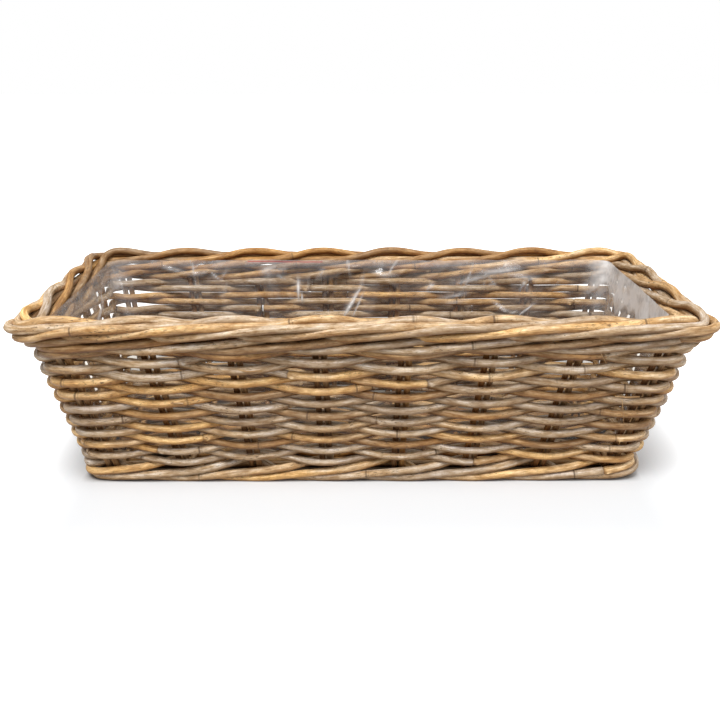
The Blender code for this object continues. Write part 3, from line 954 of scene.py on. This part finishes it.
def film_ring(half, radius, count):
    """Plan points and inward normals round a rounded rectangle, with fixed shares per side."""
    lengths = [FILM_SIDES[0], FILM_SIDES[1], FILM_SIDES[2], FILM_SIDES[1]] * 2
    ends = np.cumsum(lengths)
    signs = ((-1, -1), (1, -1), (1, 1), (-1, 1))
    inner = half - Vector((radius, radius))
    corners = [Vector((inner.x * x, inner.y * y)) for x, y in signs]
    places, normals = [], []
    for index in range(count):
        distance = index / count * FILM_LENGTH
        part = int(np.searchsorted(ends, distance, side="right"))
        share = (distance - (ends[part] - lengths[part])) / lengths[part]
        here, there = corners[part // 2], corners[(part // 2 + 1) % 4]
        turned = math.pi / 2 * (part // 2 - 1)
        if part % 2:
            centre, turned = there, turned + share * math.pi / 2
        else:
            centre = here.lerp(there, share)
        normal = Vector((math.cos(turned), math.sin(turned)))
        places.append(centre + normal * radius)
        normals.append(-normal)
    return np.array([tuple(p) for p in places]), np.array([tuple(n) for n in normals])


def smooth_step(value, low, high):
    share = np.clip((value - low) / (high - low), 0, 1)
    return share * share * (3 - 2 * share)


def fold(s, t, s0, t0, angle, size, broad, bend=0.0):
    """One straight or bent fold: 1 on its line, sharp across it and fading along it."""
    along = (s - s0) * math.cos(angle) + (t - t0) * math.sin(angle)
    across = (t - t0) * math.cos(angle) - (s - s0) * math.sin(angle) + bend * along**2
    return smooth_step(1 - np.abs(along) / size, 0, 1) * np.exp(-np.abs(across) / broad)


def creases(s, t, count, seed, size, width, height, spread):
    """Sharp folds scattered over the film: s runs round it and t down it."""
    pick = random.Random(seed)
    total = np.zeros_like(s)
    for _ in range(count):
        s0 = pick.uniform(s.min(), s.max())
        t0 = pick.uniform(t.min(), t.max())
        angle = pick.gauss(math.pi / 2, spread)
        length = pick.uniform(*size)
        bend = pick.uniform(-FOLD_BEND, FOLD_BEND) / length
        rise = pick.uniform(*FOLD_RISE) * height * pick.choice(FOLD_SIGNS)
        total += rise * fold(s, t, s0, t0, angle, length, pick.uniform(*width), bend)
    return total


def film_side(s, start, end):
    """1 between these distances round the film, fading out over the corners."""
    begun = smooth_step(s, start - SIDE_FADE, start + SIDE_FADE)
    return begun * smooth_step(-s, -end - SIDE_FADE, SIDE_FADE - end)


def above_edge(s, t, depth, *waves):
    """How far a place lies above a wavy edge, and 1 above that edge and 0 below it."""
    for height, pace, shift in waves:
        depth = depth + height * np.sin(s * pace + shift)
    return depth - t, smooth_step(depth - t, -FLAP_SOFTNESS, FLAP_SOFTNESS)


def film_folds(s, t):
    """How far the film stands inwards, its milk and painted glints, at s round and t down it."""
    right_end = film_side(s, FILM_SIDES[0], FILM_BACK)
    back = film_side(s, FILM_BACK, FILM_LEFT)
    left_end = film_side(s, FILM_LEFT, FILM_LENGTH)
    folds = creases(s, t, *FINE_FOLDS) + creases(s, t, *BROAD_FOLDS)
    near_top = np.exp(-t / TOP_FOLDS_DEPTH) * (1 - TOP_FOLDS_CALM * right_end)
    near_top *= 1 - TOP_FOLDS_CALM * left_end
    folds += creases(s, t * TOP_FOLDS_STRETCH, *TOP_FOLDS) * near_top
    drift = math.prod(np.sin(s * along + t * down + shift) for along, down, shift in DRIFT_WAVES)

    risen, is_flap = above_edge(s, t, *RIGHT_FLAP)
    loose = right_end * is_flap
    folds += loose * (FLAP_GAP + FLAP_SLOPE * np.clip(risen, 0, FLAP_REACH))
    milk_and_painted_glints = RIGHT_FLAP_HAZE * loose
    milk_and_painted_glints += RIGHT_HAZE * right_end * smooth_step(RIGHT_DEPTH - t, 0, RIGHT_FADE)
    is_flap = above_edge(s, t, *LEFT_FLAP)[1]
    milk_and_painted_glints += left_end * (LEFT_FLAP_HAZE * is_flap + LEFT_HAZE + DRIFT_HAZE * drift)
    band = smooth_step(BAND_DEPTH - t, 0, BAND_DEPTH)
    milk_and_painted_glints += back * (BACK_HAZE + DRIFT_HAZE * np.clip(drift, 0, 1) + BAND_HAZE * band)
    # Painted highlights along fine creases near the top of the back
    wrinkle_glints = back * np.clip(creases(s, t, *WRINKLES), 0, WRINKLE_GLINT)
    milk_and_painted_glints += wrinkle_glints * smooth_step(WRINKLE_DEPTH - t, 0, WRINKLE_FADE)
    # Painted glints: the streaks whiten the film like highlights, over a little relief
    for x, depth, angle, length, width, strength in FILM_PAINTED_GLINTS:
        s0 = FILM_BACK + FILM_SIDES[0] * (1 / 2 - x / FILM_SIDES[0])
        mark = fold(s, t, s0, depth, math.radians(angle), length, width)
        milk_and_painted_glints = np.maximum(milk_and_painted_glints, mark * strength)
        folds += STREAK_RELIEF * mark
    folds *= 1 - END_CALM * np.maximum(right_end, left_end)
    folds = (np.roll(folds, 1, 1) + 2 * folds + np.roll(folds, -1, 1)) / 4
    folds -= np.percentile(folds, LOWEST_PERCENT)
    return np.clip(folds, 0, DEEPEST_FOLD), milk_and_painted_glints


def film_floor(base_half, count):
    """The rows of points of the film's floor, from its rounded edge to its middle."""
    insets = [FILM_FLOOR_ROUND * FLOOR_FIRST_INSET, FILM_FLOOR_ROUND]
    last = base_half.y - FLOOR_MIDDLE
    insets += list(np.linspace(FILM_FLOOR_ROUND * 2, last, FILM_FLOOR_ROWS))
    rows = []
    for inset in insets:
        half = base_half - Vector((inset, inset))
        radius = max(FILM_CORNER_RADIUS - inset, FLOOR_LEAST_RADIUS)
        plan = film_ring(half, min(radius, half.y * FLOOR_ROUNDNESS), count)[0]
        z = FILM_FLOOR_Z + max(FILM_FLOOR_ROUND - inset, 0) * FLOOR_RISE
        waves = [noise.noise((*(place * FLOOR_PACE), FLOOR_LAYER)) for place in plan]
        waves = np.maximum(waves, 0) * FLOOR_WAVE * min(inset / FLOOR_CALM, 1)
        rows.append(np.column_stack([plan, z + waves]))
    return rows


def make_film():
    """The clear film: a crinkled tray hung inside the weave and tucked under the border."""
    count = int(FILM_LENGTH / FILM_STEP)
    heights = np.linspace(FILM_TOP_Z, FILM_FLOOR_Z + FILM_FLOOR_ROUND, FILM_WALL_ROWS)
    s, t = np.meshgrid(np.arange(count) / count * FILM_LENGTH, FILM_TOP_Z - FILM_TUCK - heights)
    folds, milk_and_painted_glints = film_folds(s, t)
    rows = []
    for z, inwards in zip(heights, folds):
        plan, normals = film_ring(half_sizes(z) - FILM_SETBACK, FILM_CORNER_RADIUS, count)
        rows.append(np.column_stack([plan + normals * inwards[:, None], np.full(count, z)]))
    base_half = half_sizes(FILM_FLOOR_Z) - FILM_SETBACK
    floor = film_floor(base_half, count)
    rows += floor
    faces = []
    for a in range(0, (len(rows) - 1) * count, count):
        for k in range(count):
            n = (k + 1) % count
            faces.append((a + k, a + count + k, a + count + n, a + n))
    last = (len(rows) - 1) * count
    faces.append(tuple(range(last, last + count)))
    made = smooth_object("clear_film_liner", np.concatenate(rows), faces, film_finish())

    front = smooth_step(-s, -FILM_SIDES[0], -FILM_SIDES[0] + SIDE_FADE)
    x = FILM_BACK + FILM_SIDES[0] / 2 - s
    x_from, x_to, depth, half_height = HEM_LINE
    hem = (x > x_from) & (x < x_to) & (np.abs(t - depth) < half_height)
    milk_and_painted_glints = np.maximum(milk_and_painted_glints * (1 - front), hem * HEM_HAZE)
    shine = 1 - FRONT_DULLNESS * front
    kinds = (("milk_and_painted_glints", milk_and_painted_glints, FLOOR_HAZE), ("shine", shine, FLOOR_SHINE), ("hem", hem, 0.0))
    for name, on_wall, on_floor in kinds:
        values = np.concatenate([on_wall, np.full((len(floor), count), on_floor)])
        add_marks(made, name, "FLOAT", "value", values)
    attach(made, "root")
    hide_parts("film_liner")


CLEAR_COLOUR = (0.89, 0.865, 0.82, 1)
MILK_COLOUR, MILK_ROUGHNESS = (0.90, 0.87, 0.85, 1), 0.35
HEM_COLOUR = (0.45, 0.03, 0.02, 1)
GLOSS_ROUGHNESS = 0.18
# Unevenness of the milkiness, as in the rattan: two noises and what becomes of them
WISPS, WISP_RANGE = ((16, 22, 22), 4, 0.6, 1.0), (0.35, 0.62, 0.6, 1.2)
GRAIN, GRAIN_RANGE = ((90, 90, 90), 2, 0.5, 0.8), (0.35, 0.65, 0.80, 1.12)
# Share of the gloss, from a film seen square on to one seen from its edge
EDGE_BLEND, EDGE_POWER, EDGE_RANGE = 0.5, 4.0, (0.0, 1.0, 0.04, 0.9)


def film_finish():
    """Clear film: see-through, milky where folded or doubled, painted glints, and a soft gloss.
    """
    made, tree = with_nodes(bpy.data.materials.new("crinkled_clear_film"))
    tree.nodes.clear()
    output = node_of(tree, "OutputMaterial")
    place = node_of(tree, "TexCoord").outputs["Object"]
    clear = node_of(tree, "BsdfTransparent")
    feed(tree, clear, Color=CLEAR_COLOUR)
    milk = node_of(tree, "BsdfPrincipled")
    milk_colour = mixed(tree, "MIX", mark_of(tree, "hem"), MILK_COLOUR, HEM_COLOUR)
    feed(tree, milk, Base_Color=milk_colour, Roughness=MILK_ROUGHNESS)
    gloss = node_of(tree, "BsdfGlossy")
    feed(tree, gloss, Color=WHITE, Roughness=GLOSS_ROUGHNESS)
    wisps = remapped(tree, noise_of(tree, place, *WISPS), *WISP_RANGE)
    milk_and_painted_glints = product(tree, mark_of(tree, "milk_and_painted_glints"), wisps)
    grain = remapped(tree, noise_of(tree, place, *GRAIN), *GRAIN_RANGE)
    milk_and_painted_glints = maths(tree, "MULTIPLY", milk_and_painted_glints, grain, True)
    body = mixed_shader(tree, milk_and_painted_glints, clear, milk)
    facing = node_of(tree, "LayerWeight")
    feed(tree, facing, Blend=EDGE_BLEND)
    edge = maths(tree, "POWER", facing.outputs["Facing"], EDGE_POWER)
    edge = product(tree, remapped(tree, edge, *EDGE_RANGE), mark_of(tree, "shine"))
    link(tree, mixed_shader(tree, edge, body, gloss).outputs[0], output.inputs[0])
    return made


# Studio: the camera was fitted to the photograph's perspective
SENSOR_WIDTH, FOCAL_PIXELS, FRAME_PIXELS = 36, 804, 720
CAMERA_PLACE = (-0.006, -0.8138, 0.4229)
CAMERA_DOWN, CAMERA_PAN = 21.82, -0.3
FLOOR_HALF, FLOOR_DROP = 6.0, 0.0004
FLOOR_COLOUR, FLOOR_ROUGHNESS, FLOOR_SPECULAR = (0.81, 0.83, 0.85, 1), 0.9, 0.1
# Painted shadow: right under the base the floor is darker, fading out towards the base's edge
UNDER_SHADOW_COLOUR, UNDER_SHADOW_FADE = (0.16, 0.12, 0.08, 1), 0.014
# The floor fades to white outside this rectangle: axis, middle, half size and reach of the fade.
# Distances beyond it are counted in reaches, up to this many.
GLOW_EDGES = (("X", 0.0, 0.270, 0.15), ("Y", 0.130, 0.290, 0.30))
GLOW_SPAN = 2.0
WORLD_LIGHT, WORLD_WHITE = 0.24, 1.0
# Soft square lamps: name, place, size and power
LAMPS = (
    ("key_lamp", (-0.4, -0.9, 2.0), 1.0, 43.0),
    ("fill_lamp", (1.2, -0.9, 1.3), 1.2, 12.0),
    ("back_lamp", (0.2, 1.0, 1.8), 1.2, 3.0),
)
LAMP_AIM = Vector((0, 0, 0.1))


def seen_directly(tree):
    """1 for rays that reach the camera straight, by a mirror or through film, and 0 for light."""
    rays = node_of(tree, "LightPath")
    seen = maths(tree, "ADD", rays.outputs["Is Camera Ray"], rays.outputs["Is Glossy Ray"], True)
    return maths(tree, "ADD", seen, rays.outputs["Is Transmission Ray"], True)


def floor_finish():
    """Matt white, painted shadow under the base, glowing white to the eye away from the basket.
    """
    made, tree = with_nodes(bpy.data.materials.new("floor"))
    shader = tree.nodes["Principled BSDF"]
    sides = node_of(tree, "SeparateXYZ")
    link(tree, node_of(tree, "TexCoord").outputs["Object"], sides.inputs[0])
    # Painted shadow under the base
    inside = []
    for axis, half in (("X", BASE_LENGTH / 2), ("Y", BASE_WIDTH / 2)):
        distance = maths(tree, "ABSOLUTE", sides.outputs[axis], 0.0)
        inside.append(remapped(tree, distance, half, half - UNDER_SHADOW_FADE))
    colour = mixed(tree, "MIX", product(tree, *inside), FLOOR_COLOUR, UNDER_SHADOW_COLOUR)
    feed(tree, shader, Base_Color=colour, Roughness=FLOOR_ROUGHNESS)
    feed(tree, shader, Specular_IOR_Level=FLOOR_SPECULAR, Emission_Color=WHITE)
    beyond = []
    for axis, middle, half, reach in GLOW_EDGES:
        offset = maths(tree, "SUBTRACT", sides.outputs[axis], middle)
        distance = maths(tree, "ABSOLUTE", offset, 0.0)
        past = remapped(tree, distance, half, half + GLOW_SPAN * reach, 0.0, GLOW_SPAN)
        beyond.append(maths(tree, "POWER", past, 2.0))
    away = maths(tree, "SQRT", maths(tree, "ADD", *beyond), 0.0)
    glow = product(tree, seen_directly(tree), remapped(tree, away, 0.0, 1.0, kind="SMOOTHSTEP"))
    feed(tree, shader, Emission_Strength=glow)
    return made


def make_floor():
    """The floor, just under the basket."""
    mesh = bpy.data.meshes.new("floor")
    size = FLOOR_HALF
    corners = [(-size, -size, 0), (size, -size, 0), (size, size, 0), (-size, size, 0)]
    mesh.from_pydata(corners, [], [(0, 1, 2, 3)])
    floor = add_object("floor", mesh)
    floor.location.z = -FLOOR_DROP
    mesh.materials.append(floor_finish())


def make_world():
    """White surroundings to the eye, and a soft light all round for the rest."""
    bpy.context.scene.world, tree = with_nodes(bpy.data.worlds.new("studio"))
    tree.nodes.clear()
    output = node_of(tree, "OutputWorld")
    shaders = []
    for strength in (WORLD_LIGHT, WORLD_WHITE):
        shaders.append(node_of(tree, "Background"))
        feed(tree, shaders[-1], Color=WHITE, Strength=strength)
    mix = mixed_shader(tree, seen_directly(tree), *shaders)
    link(tree, mix.outputs[0], output.inputs[0])


def make_stage():
    """Floor, surroundings, soft lamps and the camera at the photograph's angle."""
    make_floor()
    make_world()
    for name, place, size, power in LAMPS:
        lamp = bpy.data.lights.new(name, "AREA")
        lamp.size = size
        lamp.energy = power
        made = add_object(name, lamp)
        made.location = place
        aim = LAMP_AIM - Vector(place)
        made.rotation_euler = aim.to_track_quat("-Z", "Y").to_euler()
    camera = bpy.data.cameras.new("camera")
    camera.sensor_width = SENSOR_WIDTH
    camera.lens = SENSOR_WIDTH * FOCAL_PIXELS / FRAME_PIXELS
    made = add_object("camera", camera)
    made.location = CAMERA_PLACE
    made.rotation_euler = (math.radians(90 - CAMERA_DOWN), 0, math.radians(CAMERA_PAN))
    bpy.context.scene.camera = made
    bpy.context.scene.view_settings.view_transform = "Standard"


make_stakes()
make_weavers()
make_wales()
make_base()
make_film()
make_stage()
